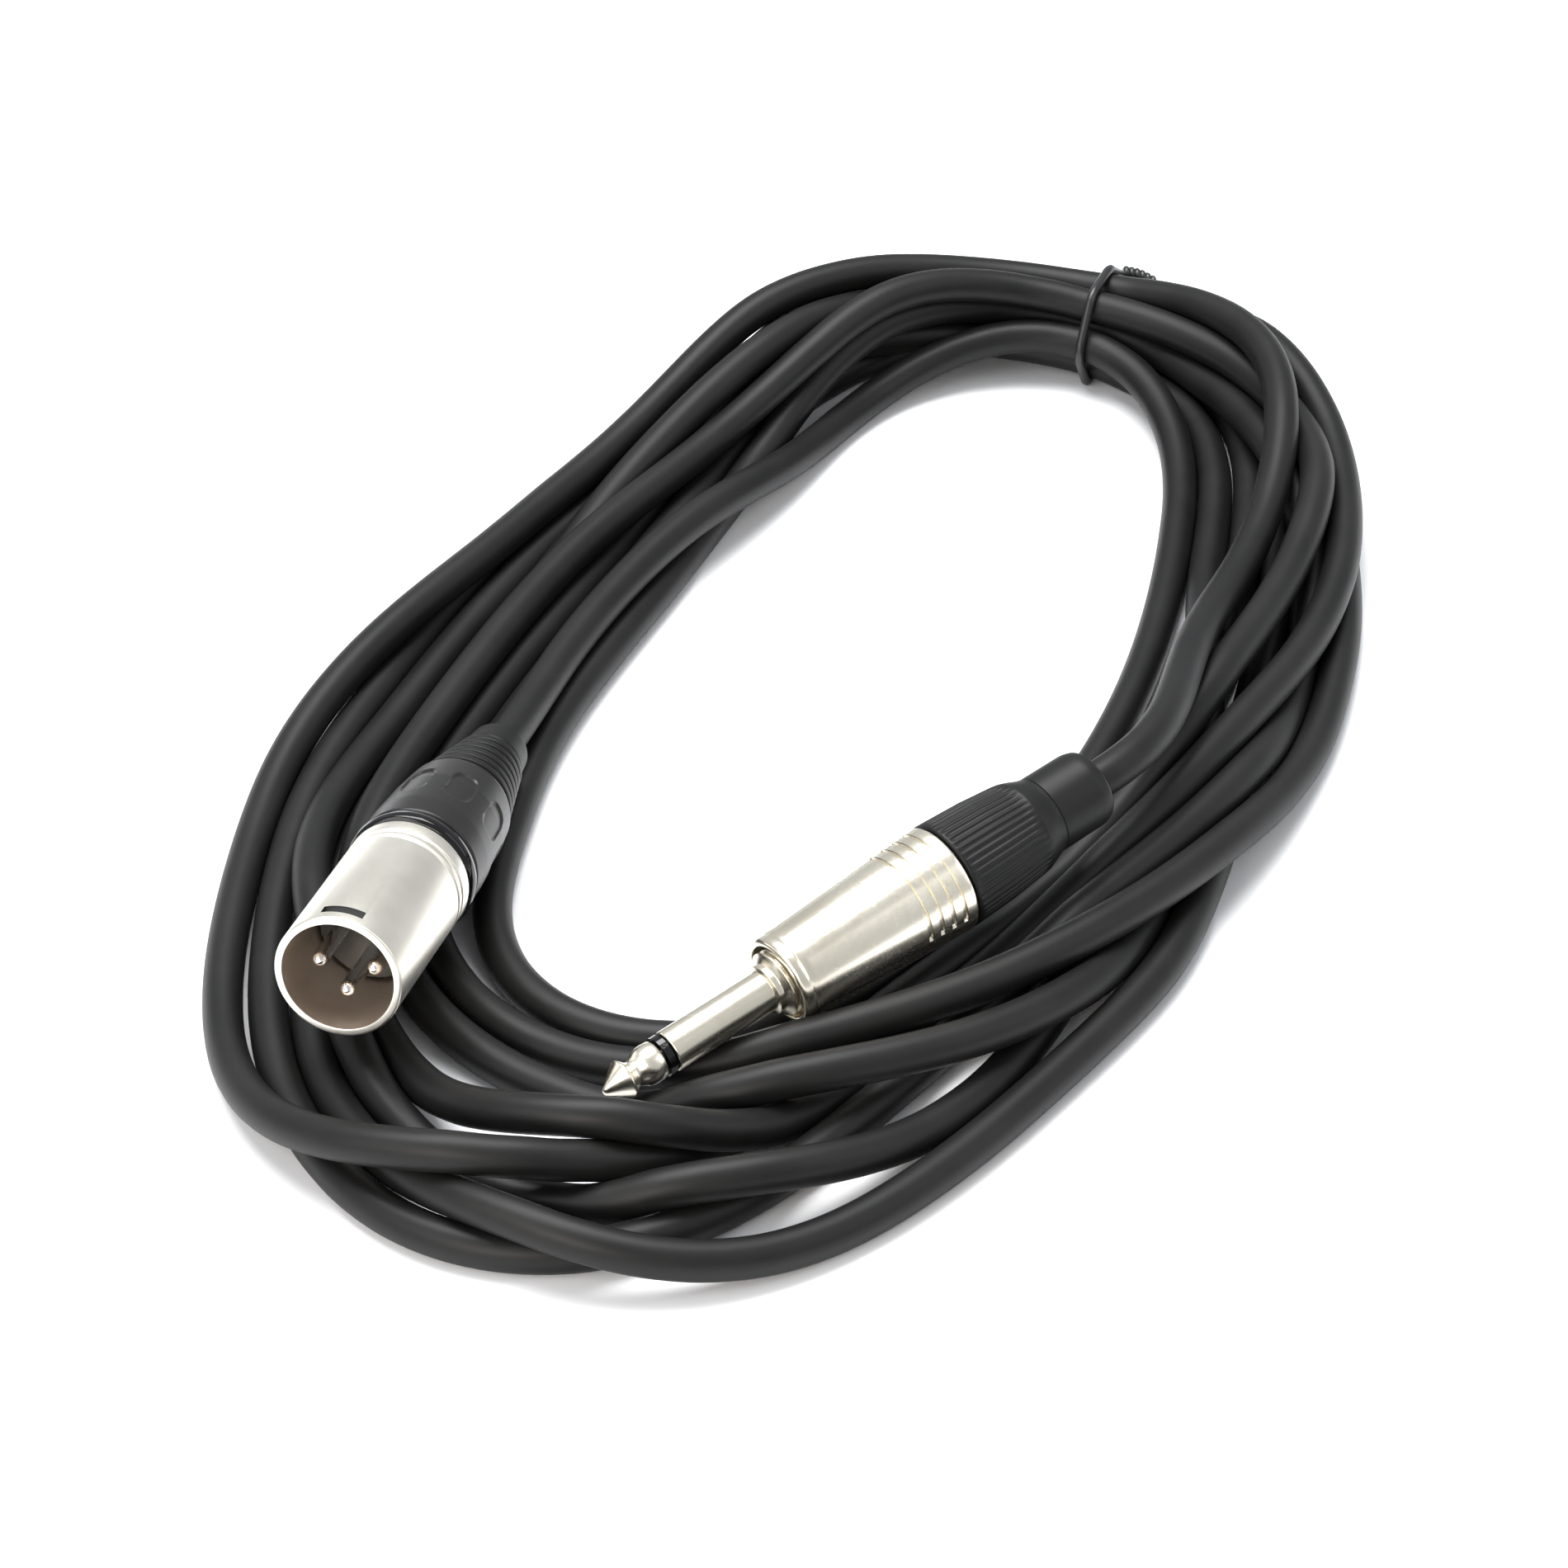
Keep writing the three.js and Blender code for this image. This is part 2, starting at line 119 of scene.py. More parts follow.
TURNS = [  # station, how far out in mm, layer
    [(0, 0, 2), (2, 2.5, 1.9), (4, 8, 1.3), (6, 12.5, 1), (7, 16, .1), (8, 20, 0), (8.5, 23, .2),
     (9, 25, .8), (9.5, 22, 1.1), (10, 16, .9), (10.5, 8, .3), (11, 0, 0), (12, -13, 0),
     (12.7, -14.5, .3), (13.4, -10, .9), (14.1, -7, 1.2), (14.6, -5, 1.3), (15.3, 0, 1.4),
     (15.9, 4.5, 1.5), (16.6, 7.5, 1.7), (17.3, 6, 1.9), (18.5, -2, 2), (20, -6, 2)],
    [(0, -6, 2), (2, -4.5, 1.5), (4, -3, 1), (6, -1, 1), (8, 1, 1), (9, 4, 1), (10, 5, 1.2),
     (11, 2, .9), (11.6, -2, .5), (12.1, -8, .1), (12.7, -11, .4), (13.3, -8, .9), (14, -2, 1.2),
     (14.4, 3, 1.2), (15.1, 9, 1.2), (15.6, 11.5, 1.2), (17, 11.5, 1.2), (18, 9, 1.2),
     (19, 5, 1), (20, 3, 1)],
    [(0, 3, 1), (2, 2, 1.4), (3, 1, 1.6), (4.5, -1, 1.2), (5.5, 1, .6), (6.5, 3, .1), (8, 6, 0),
     (9, 8, 0), (9.5, 13, .1), (10, 18, .5), (10.5, 24, .9), (11, 24, .4), (11.5, 19, 0),
     (12, 15, 0), (13, 10, 0), (14, 6, 0), (15, 4, 0), (17, 5, 0), (18, 8, .4), (19, 9, .9),
     (20, 9, 1)],
    [(0, 9, 1), (2, 4, 1), (4, -2, .8), (5, -4, .4), (6, -5, 0), (7, -5.5, 0), (8.5, -4, 0),
     (9, -6, 0), (10, -13, 0), (11, -13, .2), (12, -3, .9), (12.6, 4, 1.1), (13, 8, 1.1),
     (13.4, 10, 1), (14, 6, .6), (15, -2, .2), (16, -7.5, 0), (18, -7, 0), (20, -6, 0)],
    [(0, -6, 0), (1.5, -4, .3), (3, 1, .7), (4.5, 6, .8), (6, 8, .8), (7.5, 10, .9), (8, 9, .8),
     (9, 5, .2), (9.5, 7, 0), (10, 10, 0), (11, 9, .6), (12, 11, .9), (12.8, 12, .8),
     (13.5, 6, .5), (14.3, 0, .2), (15, -3, 0), (17, -2, 0), (19, 0, 0), (20, 0, 0)],
    [(0, 0, 0), (1.5, -1, 0), (3, -5, 0), (5, -9.5, 0), (7, -11.5, 0), (8.5, -10, 0), (9, -14, 0),
     (9.5, -20, 0), (10.5, -24.5, 0), (11.6, -21, .2), (12.3, -11, .8), (12.8, -4, 1.2),
     (13.4, 4, 1.5), (13.8, 8, 1.4), (14.3, 12, 1), (15.4, 13, .2), (16.5, 11, 0),
     (17.5, 9, 0), (20, 6, 0)],
    [(0, 6, 0), (3, 7.5, 0), (5, 10.5, 0), (8, 13, 0), (9, 16.5, 0), (9.5, 21, 0), (10, 22.5, 0),
     (10.5, 19, 0), (11, 11, 0), (12, -3, 0), (12.8, -7, .4), (13.2, -5, .8), (13.6, -1, 1),
     (14.1, 3, 1), (14.6, 7, .8), (15.2, 8.5, .4), (16, 8, 0), (16.6, 6, .5), (17.3, 2, 1.1),
     (18, -1, 1.1), (19, -3, 1), (20, -3, 1)],
    [(0, -3, 1), (1.5, -3, 1.2), (2.5, -5, 1.2), (3.5, -8, .9), (4.5, -11, .4), (5.5, -14, 0),
     (6.5, -15, 0), (8, -19, 0), (9, -25.5, 0), (10.5, -31, 0), (12, -25, 0), (13, -20, 0),
     (14.8, -16.5, 0), (16, -15, 0), (17.5, -13, .2), (18.5, -11, .7), (20, -9, 1)],
]
LAST = [(0, -9, 1), (1.2, -8.5, .8), (2.2, -10, .4), (3, -12, .2), (3.6, -13.5, .4)]
FROM_JACK = [(17.5, 7, 2.9), (18.2, 6, 2.7), (19, 3, 2.3), (20, 0, 2)]
# The two ends of the cable, as places in the row frame.
JACK_LEAD = np.array([(49, -31, 24.8), (53.5, -18, 24.3), (60, 4, 23.0), (68, 30, 21.5),
                      (76, 53, 20), (80.5, 68, 18.8)]) * MM
XLR_LEAD = np.array([(-46.0, -3, 9.9), (-40, 15, 9.4), (-34, 31, 9.2), (-26.5, 47, 8.8),
                     (-19.5, 60, 7.5)]) * MM


def way(t):
    """The middle of the hank at station t, on a smooth closed curve through the stations."""
    n, i = len(STATIONS), np.floor(t).astype(int)
    f = (t - i)[:, None]
    a, b, c, d = (STATIONS[(i + k) % n] for k in (-1, 0, 1, 2))
    return (2 * b + (c - a) * f + (2 * a - 5 * b + 4 * c - d) * f**2
            + (3 * b - a - 3 * c + d) * f**3) / 2


def lane(rows):
    """Points along one turn, at its distances out from the way round and on its layers."""
    rows = np.array(rows, float)
    t = np.arange(rows[0, 0], rows[-1, 0] - 1e-9, 0.05)
    ahead = way(t + 0.001) - way(t - 0.001)
    ahead /= np.linalg.norm(ahead, axis=1)[:, None]
    out = np.interp(t, rows[:, 0], rows[:, 1])[:, None] * MM
    z = CORD_D / 2 + np.interp(t, rows[:, 0], rows[:, 2]) * LAYER
    z += OVER_WIRE * np.exp(-((((t + 10) % 20 - 10) / 0.35) ** 2))
    plan = way(t) + np.column_stack([ahead[:, 1], -ahead[:, 0]]) * out - HANK_CENTRE
    return np.column_stack([plan, z])


def evenly(line, step):
    """The same line with its points a step apart."""
    run = np.append(0, np.cumsum(np.linalg.norm(np.diff(line, axis=0), axis=1)))
    at = np.linspace(0, run[-1], round(run[-1] / step) + 1)
    return np.column_stack([np.interp(at, run, line[:, k]) for k in range(3)])


inside = [along(JACK, JACK_BOOT_END + d * MM) for d in (-21, -14, -7, 0, 4)]
behind = [along(XLR, XLR_BOOT_END + d * MM) for d in (8, 0, -8, -16, -24)]
route = np.concatenate([inside, JACK_LEAD, lane(FROM_JACK), *map(lane, TURNS), lane(LAST),
                        XLR_LEAD[::-1], behind])
route = evenly(route, 1 * MM)
for _ in range(100):  # each round draws every point halfway to its neighbours' middle
    route[1:-1] += ((route[:-2] + route[2:]) / 2 - route[1:-1]) / 2
STEP = 5 * MM
route = evenly(route, STEP)
for end, last in ((JACK, slice(0, 6)), (XLR, slice(-7, None))):  # straight out of each boot
    axis = pose(end)[0][:, 1]
    route[last] = along(end, 0) + np.outer((route[last] - along(end, 0)) @ axis, axis)
print("drawn route:", len(route), "points,", round(len(route) * STEP, 2), "m")

# %% [markdown]
# ## Letting the cable settle
# The drawn turns cut through each other where they cross, so they are settled as a real cable
# is: each short length is pulled down by its weight, pushed apart from the lengths it
# touches, kept off the floor and the connectors, and bends only as much as the cable can.

# %% Settling
# Each connector's radius at distances back, with room for its nut and boot to travel 5 mm.
XLR_WIDE = np.array([(-12, 0), (-11.9, 9.5), (33, 9.6), (33.3, 10.2), (36.4, 10.2), (37, 9.7),
                     (46.8, 9.7), (56, 9.4), (63.8, 8.8), (64.7, 8.3), (76.7, 6.3), (79.6, 5.8),
                     (85.6, 4.8)]) * MM
JACK_WIDE = np.array([(-3, 2.5), (0, 3.2), (28, 3.2), (30.6, 4.9), (34, 5.2), (36, 7.2),
                      (62.3, 8.7), (68, 8.7), (77, 8.4), (82, 7.7), (86.3, 6.6), (86.5, 6.2),
                      (96.4, 5.5)]) * MM


ROUNDS, LATE = 1000, 0.8  # the last fifth of the rounds is gentler
WEIGHT = (0.05 * MM, 0.01 * MM)  # the drop each round, early and late
HOMING = (0.010, 0.002)  # the share of the way back to the drawn plan, early and late
BEND_PASSES, STIFF = 4, 0.12
LEAST_BEND = 27 * MM
PUSH = 0.39  # the share of an overlap undone at once
TIE_HOLD = 0.3
ROOM = 0.15 * MM  # between the cable and a connector


def nearest(line, i, j):
    """For each pair of lengths, how far along each their nearest points lie, and the gap."""
    p, q, r, s = line[i], line[i + 1], line[j], line[j + 1]
    u, v, w = q - p, s - r, p - r
    a, b, c = (u * u).sum(1), (u * v).sum(1), (v * v).sum(1)
    d, e = (u * w).sum(1), (v * w).sum(1)
    flat = a * c - b * b
    f = np.where(flat > 1e-3 * a * c, np.clip((b * e - c * d) / np.maximum(flat, 1e-30), 0, 1), .5)
    g = np.clip((b * f + e) / c, 0, 1)
    f = np.clip((b * g - d) / a, 0, 1)
    return f, g, w + u * f[:, None] - v * g[:, None]


def close_pairs(line, reach=13 * MM):
    """The pairs of lengths whose middles are within reach in plan, near neighbours aside."""
    mid = (line[:-1] + line[1:]) / 2
    gap = ((mid[:, None, :2] - mid[None, :, :2]) ** 2).sum(2)
    return np.where(np.triu(gap < reach**2, 5))


def settle(line):
    """Lets the cable's points fall, bend and push each other apart, round after round."""
    home, line, n = line.copy(), line.copy(), len(line)
    free = np.ones(n)
    free[:6] = free[-7:] = 0
    tie = way(np.array([0.0]))[0] - HANK_CENTRE
    ahead = (way(np.array([.02])) - way(np.array([-.02])))[0]
    ahead /= np.linalg.norm(ahead)
    off = home[:, :2] - tie
    tied = (abs(off @ ahead) < 5 * MM) & (np.linalg.norm(off, axis=1) < 25 * MM)
    least = STEP**2 / LEAST_BEND
    for turn in range(ROUNDS):
        late = turn > LATE * ROUNDS
        if turn % 15 == 0:
            i, j = close_pairs(line)
        line[:, 2] -= WEIGHT[late] * free
        line[:, :2] += HOMING[late] * free[:, None] * (home - line)[:, :2]
        for _ in range(BEND_PASSES):
            bend = np.zeros_like(line)
            bend[2:-2] = line[:-4] - 4 * line[1:-3] + 6 * line[2:-2] - 4 * line[3:-1] + line[4:]
            line -= STIFF * bend * free[:, None]
            curve = line[:-2] - 2 * line[1:-1] + line[2:]
            size = np.linalg.norm(curve, axis=1)[:, None]
            over = curve * np.clip((size - least) / np.maximum(size, 1e-9), 0, 1)
            line[1:-1] += over * 0.3 * free[1:-1, None]
            line[:-2] -= over * 0.15 * free[:-2, None]
            line[2:] -= over * 0.15 * free[2:, None]
        for _ in range(3 if late else 2):
            f, g, gap = nearest(line, i, j)
            touch = (gap**2).sum(1) < CORD_D**2
            a, b, f, g, gap = i[touch], j[touch], f[touch], g[touch], gap[touch]
            size = np.linalg.norm(gap, axis=1)
            u, v = line[a + 1] - line[a], line[b + 1] - line[b]
            crossing = abs(u[:, 0] * v[:, 1] - u[:, 1] * v[:, 0]) > 0.25 * STEP**2
            deep = CORD_D - size
            lift = np.sqrt(CORD_D**2 - (gap[:, :2] ** 2).sum(1)) - abs(gap[:, 2])
            up = np.where(gap[:, 2] >= 0, 1.0, -1.0)
            push = np.where(crossing[:, None], np.outer(lift * up, (0, 0, 1)),
                            gap / np.maximum(size, 1e-9)[:, None] * deep[:, None]) * PUSH
            move, hits = np.zeros_like(line), np.zeros(n)
            for at, share, sign in ((a, 1 - f, 1), (a + 1, f, 1), (b, 1 - g, -1), (b + 1, g, -1)):
                for k in range(3):
                    move[:, k] += np.bincount(at, sign * push[:, k] * share, n)
                hits += np.bincount(at, share, n)
            line += move / np.maximum(1, hits / 2)[:, None] * free[:, None]
            line[:, 2] = np.maximum(line[:, 2], CORD_D / 2)
            for end, wide in ((XLR, XLR_WIDE), (JACK, JACK_WIDE)):
                r = line - along(end, 0)
                y = r @ pose(end)[0][:, 1]
                r -= np.outer(y, pose(end)[0][:, 1])
                y /= end["squeeze"]
                far = np.linalg.norm(r, axis=1)
                need = np.interp(y, wide[:, 0], wide[:, 1], -1, -1) + CORD_D / 2 + ROOM
                bad = (far < need) & (free > 0) & (need > CORD_D)
                bad[:9] = bad[-9:] = False
                line[bad] += r[bad] * ((need - far) / np.maximum(far, 1e-9))[bad, None] * 0.6
        for _ in range(2):  # keeps every step its own length
            for odd in (0, 1):
                a = np.arange(odd, n - 1, 2)
                v = line[a + 1] - line[a]
                size = np.linalg.norm(v, axis=1)
                v *= ((size - STEP) / size / np.maximum(free[a] + free[a + 1], 1))[:, None]
                line[a] += v * free[a, None]
                line[a + 1] -= v * free[a + 1, None]
        line[tied] += (home - line)[tied] * TIE_HOLD
    return line


def measure(line):
    """Prints the length, the smallest gap between neighbours and the tightest bend."""
    i, j = close_pairs(line)
    gap = np.linalg.norm(nearest(line, i, j)[2], axis=1)
    u, v = np.diff(line, axis=0)[:-1], np.diff(line, axis=0)[1:]
    size = np.linalg.norm(u, axis=1), np.linalg.norm(v, axis=1)
    turn = np.arccos(np.clip((u * v).sum(1) / size[0] / size[1], -1, 1))
    tight = size[0] / np.maximum(turn, 1e-6)
    print("length", round(np.linalg.norm(np.diff(line, axis=0), axis=1).sum(), 3), "m, gap",
          (gap.min() / MM).round(2), "mm,", (gap < 5.6 * MM).sum(), "tight pairs, bend",
          (tight.min() / MM).round(1), "mm, under 24 mm:", (tight < 24 * MM).sum(),
          "lowest", (line[:, 2].min() / MM).round(2), "highest", (line[:, 2].max() / MM).round(1))


route = settle(route)
route[:, 2] = np.maximum(route[:, 2], CORD_D / 2)
measure(route)

# %% [markdown]
# ## Making meshes
# Surfaces are arrays of points in two directions. `spin` turns a closed outline round a
# connector's axis, and `sweep` carries a circle along a line. `piece` makes the Blender object,
# sets it on the body it rides on and hides the solids of the part it stands for.

# %% Surface helpers
def grid(rows, cols, closed_rows=True):
    """Four-sided faces between neighbouring points of a sheet that wraps round in cols."""
    r, c = np.meshgrid(np.arange(rows if closed_rows else rows - 1), np.arange(cols),
                       indexing="ij")
    down, on = (r + 1) % rows, (c + 1) % cols
    return np.stack([r * cols + c, r * cols + on, down * cols + on, down * cols + c],
                    -1).reshape(-1, 4)


def soft(points, radius, steps=4):
    """A closed outline with each corner rounded off."""
    points, out = np.array(points, float), []
    for k in range(len(points)):
        before, at, after = points[k - 1], points[k], points[(k + 1) % len(points)]
        ends = []
        for other in (before, after):
            edge = other - at
            size = np.linalg.norm(edge)
            ends.append(at + edge / size * min(radius, size * 0.45))
        for f in np.linspace(0, 1, steps + 1):
            out.append(ends[0] * (1 - f)**2 + at * 2 * f * (1 - f) + ends[1] * f**2)
    return np.array(out)


def spin(outline, sides, end=None, shape=None):
    """A ring: the closed outline of (radius, distance back) in mm, turned round the axis.
    shape(radius, back, angle) may change the radius. end sets it in place."""
    angle = np.arange(sides) / sides * tau
    radius, back = (np.repeat(outline[:, k][:, None], sides, 1) for k in (0, 1))
    turn = np.repeat(angle[None], len(outline), 0)
    if shape:
        radius = shape(radius, back, turn)
    verts = np.stack([radius * np.cos(turn), back, radius * np.sin(turn)], -1).reshape(-1, 3)
    return settle_in(verts * MM, end), grid(len(outline), sides)


def settle_in(verts, end):
    """Carries points from a connector's own frame into the row frame."""
    if end is None:
        return verts
    turned, at = pose(end)
    return verts * (1, end["squeeze"], 1) @ turned.T + at


def frames(line):
    """Two directions square to the line at each point, which turn as little as they can."""
    ahead = np.gradient(line, axis=0)
    ahead /= np.linalg.norm(ahead, axis=1)[:, None]
    side = np.cross(ahead[0], (0, 0, 1))
    sides = []
    for d in ahead:
        side = side - d * (side @ d)
        side /= np.linalg.norm(side)
        sides.append(side)
    return np.array(sides), np.cross(ahead, sides)


def rings(line, side, up, radius, around):
    """A circle of points round each point of a line: its cosine along side, its sine up."""
    angle = np.arange(around) / around * tau
    ring = (side[:, None] * np.cos(angle)[None, :, None]
            + up[:, None] * np.sin(angle)[None, :, None]) * radius
    return (line[:, None] + ring).reshape(-1, 3)


def sweep(line, radius, around=20):
    """A solid tube round a line, closed at its two ends."""
    verts = rings(line, *frames(line), radius, around)
    last = len(verts) - around
    ends = [list(range(around))[::-1], list(range(last, last + around))]
    return verts, grid(len(line), around, closed_rows=False).tolist() + ends


def mesh_of(name, verts, faces):
    mesh = bpy.data.meshes.new(name)
    mesh.from_pydata(np.asarray(verts).tolist(), [], [list(f) for f in faces])
    return mesh


def piece(name, verts, faces, body, slot, finish, stands_for, sharp=40, merge=True):
    """An object that rides on a body and stands for solids of the part. merge joins the
    points that fall together on the axis, and sharp is the angle past which an edge shows."""
    mesh = mesh_of(name, verts, faces)
    work = bmesh.new()
    work.from_mesh(mesh)
    if merge:
        bmesh.ops.remove_doubles(work, verts=work.verts, dist=0.002 * MM)
    bmesh.ops.recalc_face_normals(work, faces=work.faces)
    work.to_mesh(mesh)
    work.free()
    mesh.shade_smooth()
    mesh.set_sharp_from_angle(angle=radians(sharp))
    made = bpy.data.objects.new(name, mesh)
    bpy.context.collection.objects.link(made)
    mesh.materials.append(finish)
    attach(made, body)
    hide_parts(*stands_for)
    return made


def carve(target, verts, faces):
    """Cuts a solid out of a piece."""
    cutter = bpy.data.objects.new("cutter", mesh_of("cutter", verts, faces))
    bpy.context.collection.objects.link(cutter)
    cut = target.modifiers.new("cut", "BOOLEAN")
    cut.object, cut.operation, cut.solver = cutter, "DIFFERENCE", "EXACT"
    view = bpy.context.evaluated_depsgraph_get()
    made = bpy.data.meshes.new_from_object(target.evaluated_get(view))
    target.modifiers.clear()
    target.data = made
    made.shade_smooth()
    made.set_sharp_from_angle(angle=radians(35))
    bpy.data.objects.remove(cutter)


def brick(size, middle, end):
    """A block's corners and faces, set in a connector's frame, in mm."""
    corner = np.array([(x, y, z) for x in (-.5, .5) for y in (-.5, .5) for z in (-.5, .5)])
    faces = [(0, 1, 3, 2), (4, 6, 7, 5), (0, 4, 5, 1), (2, 3, 7, 6), (0, 2, 6, 4), (1, 5, 7, 3)]
    return settle_in((corner * size + middle) * MM, end), faces


# %% [markdown]
# ## Finishes
# Each finish is made of nodes. `Wire` wraps one output socket, so that shader sums can be
# written as sums, and `Finish` holds one material and its Principled shader.

# %% Shader helpers
class Wire:
    """One output socket, with arithmetic that makes Math nodes."""

    def __init__(self, finish, socket):
        self.finish, self.socket = finish, socket

    def sum(self, kind, *values):
        node = self.finish.tree.nodes.new("ShaderNodeMath")
        node.operation = kind
        for socket, value in zip(node.inputs, values):
            self.finish.feed(socket, value)
        return Wire(self.finish, node.outputs[0])

    def __add__(self, other): return self.sum("ADD", self, other)
    def __radd__(self, other): return self.sum("ADD", other, self)
    def __sub__(self, other): return self.sum("SUBTRACT", self, other)
    def __rsub__(self, other): return self.sum("SUBTRACT", other, self)
    def __mul__(self, other): return self.sum("MULTIPLY", self, other)
    def __rmul__(self, other): return self.sum("MULTIPLY", other, self)


class Finish:
    """One material. Constants go straight onto its shader, and wear() joins what varies."""

    def __init__(self, name, **constants):
        self.material = bpy.data.materials.new(name)
        self.material.use_nodes = True
        self.tree = self.material.node_tree
        self.shader = self.tree.nodes["Principled BSDF"]
        for label, value in constants.items():
            self.shader.inputs[label.replace("_", " ")].default_value = value

    def feed(self, socket, value):
        if isinstance(value, Wire):
            self.tree.links.new(value.socket, socket)
        else:
            socket.default_value = value

    def node(self, kind, out=0, settings=(), **inputs):
        """Any other node: its settings, its inputs by name, and which output to use."""
        made = self.tree.nodes.new("ShaderNode" + kind)
        for label, value in dict(settings).items():
            setattr(made, label, value)
        for label, value in inputs.items():
            self.feed(made.inputs[label.replace("_", " ")], value)
        return Wire(self, made.outputs[out])

    def place(self):
        return self.node("TexCoord", "Object")

    def noise(self, scale, detail):
        return self.node("TexNoise", "Fac", Vector=self.place(), Scale=scale, Detail=detail,
                         Roughness=0.6)

    def specks(self, scale, near, far, share, strength, shade, colour):
        """Round specks of a colour in a share of the cells of a Voronoi pattern."""
        spot = self.node("TexVoronoi", "Distance", Vector=self.place(), Scale=scale)
        there = self.node("TexWhiteNoise", "Value", Vector=self.node(
            "TexVoronoi", "Color", Vector=self.place(), Scale=scale))
        speck = self.ramp(spot, near, far, 1.0, 0.0) * self.ramp(there, 1 - share,
                                                                 1 - share + .001)
        return self.blend(speck * strength, shade, rgb(*colour))

    def ramp(self, value, low, high, out_low=0.0, out_high=1.0):
        return self.node("MapRange", settings={"interpolation_type": "SMOOTHSTEP"}, Value=value,
                         From_Min=low, From_Max=high, To_Min=out_low, To_Max=out_high)

    def blend(self, share, a, b):
        """A colour between a and b."""
        mix = self.tree.nodes.new("ShaderNodeMix")
        mix.data_type = "RGBA"
        self.feed(mix.inputs["Factor"], share)
        for label, value in (("A", a), ("B", b)):
            sock = [i for i in mix.inputs if i.name == label and i.type == "RGBA"][0]
            self.feed(sock, value)
        return Wire(self, [o for o in mix.outputs if o.type == "RGBA"][0])

    def wear(self, colour, roughness, height, depth):
        """Joins what varies to the shader. depth is the height's size in mm."""
        self.feed(self.shader.inputs["Base Color"], colour)
        self.feed(self.shader.inputs["Roughness"], roughness)
        bump = self.node("Bump", Height=height, Distance=depth * MM, Strength=1.0)
        self.feed(self.shader.inputs["Normal"], bump)
        return self.material


def rgb(r, g, b):
    return (r, g, b, 1.0)


# %% Finishes
def nickel(name, low, high, rough, grain, depth):
    """Plated metal: fine grain, and faint cloudy patches in its colour and gloss."""
    f = Finish(name, Metallic=1.0)
    cloud, fine = f.noise(70, 3), f.noise(grain, 2)
    colour = f.blend(f.ramp(cloud, .3, .7), rgb(*low), rgb(*high))
    gloss = rough + (cloud - .5) * .1 + (fine - .5) * .12
    return f.wear(colour, gloss, fine, depth)


def plastic(name, colour, rough, dust=0.0, depth=0.01, coat=0.0, spec=0.5):
    """Moulded plastic: fine grain, uneven gloss, and a few pale specks of dust."""
    f = Finish(name, Coat_Weight=coat, Coat_Roughness=0.12, Specular_IOR_Level=spec)
    cloud, fine = f.noise(60, 3), f.noise(2500, 2)
    shade = f.blend(f.ramp(cloud, .3, .7), rgb(*[c * .85 for c in colour]), rgb(*colour))
    if dust:
        shade = f.specks(240.0, .05, .09, dust, .7, shade, (.5, .5, .48))
    gloss = rough + (cloud - .5) * .12 + (fine - .5) * .06
    return f.wear(shade, gloss, fine, depth)


def jacket():
    """Soft black PVC: a fine skin, faint rubbed patches and a little dust."""
    f = Finish("jacket", Specular_IOR_Level=0.24)
    cloud, skin = f.noise(45, 4), f.noise(1800, 3)
    rubbed = f.ramp(f.noise(18, 2), .45, .75)
    shade = f.blend(f.ramp(cloud, .3, .7), rgb(.0055, .0055, .0057), rgb(.0095, .0093, .0089))
    shade = f.specks(180.0, .04, .08, .006, .8, shade, (.55, .55, .52))
    gloss = .46 + (cloud - .5) * .14 + rubbed * .05 + (skin - .5) * .06
    return f.wear(shade, gloss, skin, .012)


FINISH = {
    "satin_nickel": nickel("satin nickel", (.83, .80, .71), (.90, .87, .79), .36, 2600, .005),
    # The bore is the shell's own plated metal, but its lighter, warmer colour is a painted warm
    # reflection inside the mouth.
    "bore": nickel("shell bore", (.84, .70, .58), (.94, .84, .73), .38, 1500, .002),
    "bright_nickel": nickel("bright nickel", (.87, .81, .67), (.94, .89, .77), .25, 1500, .0006),
    "contact_metal": nickel("pin metal", (.78, .77, .74), (.88, .87, .84), .14, 1500, .002),
    "brass": nickel("brass", (.70, .54, .28), (.80, .64, .36), .30, 1500, .004),
    "copper_braid": nickel("copper", (.62, .34, .22), (.75, .45, .32), .35, 1500, .004),
    "gloss_ring": plastic("gloss black", (.003, .003, .0035), .10, coat=.1, spec=.4),
    "black_plastic": plastic("black plastic", (.016, .016, .017), .38),
    "nut_plastic": plastic("charcoal plastic", (.0100, .0097, .0090), .33, dust=.004, spec=.36),
    "white_plastic": plastic("natural nylon", (.78, .76, .70), .45),
    "boot_rubber": plastic("boot rubber", (.006, .006, .006), .46, dust=.006, depth=.012,
                           spec=.25),
    "cable_jacket": jacket(),
    "red_wire": plastic("red insulation", (.55, .05, .04), .45),
    "white_wire": plastic("white insulation", (.80, .79, .75), .45),
    "tie_plastic": plastic("tie", (.014, .014, .015), .34, depth=.01),
}
print("finishes:", len(FINISH))

# %% [markdown]
# ## The cable
# The settled route is smoothed to a point every 1.6 mm, and one tube follows it the whole
# way from inside the XLR's boot to inside the jack's.

# %% Cable tube
def smooth(line, step):
    """A smooth curve through the points, with a point at each step."""
    run = np.append(0, np.cumsum(np.linalg.norm(np.diff(line, axis=0), axis=1)))
    at = np.linspace(0, run[-1] * (1 - 1e-9), round(run[-1] / step) + 1)
    k = np.clip(np.searchsorted(run, at, side="right") - 1, 0, len(line) - 2)
    f = ((at - run[k]) / (run[k + 1] - run[k]))[:, None]
    a, b, c, d = (line[np.clip(k + j, 0, len(line) - 1)] for j in (-1, 0, 1, 2))
    return (2 * b + (c - a) * f + (2 * a - 5 * b + 4 * c - d) * f**2
            + (3 * b - a - 3 * c + d) * f**3) / 2


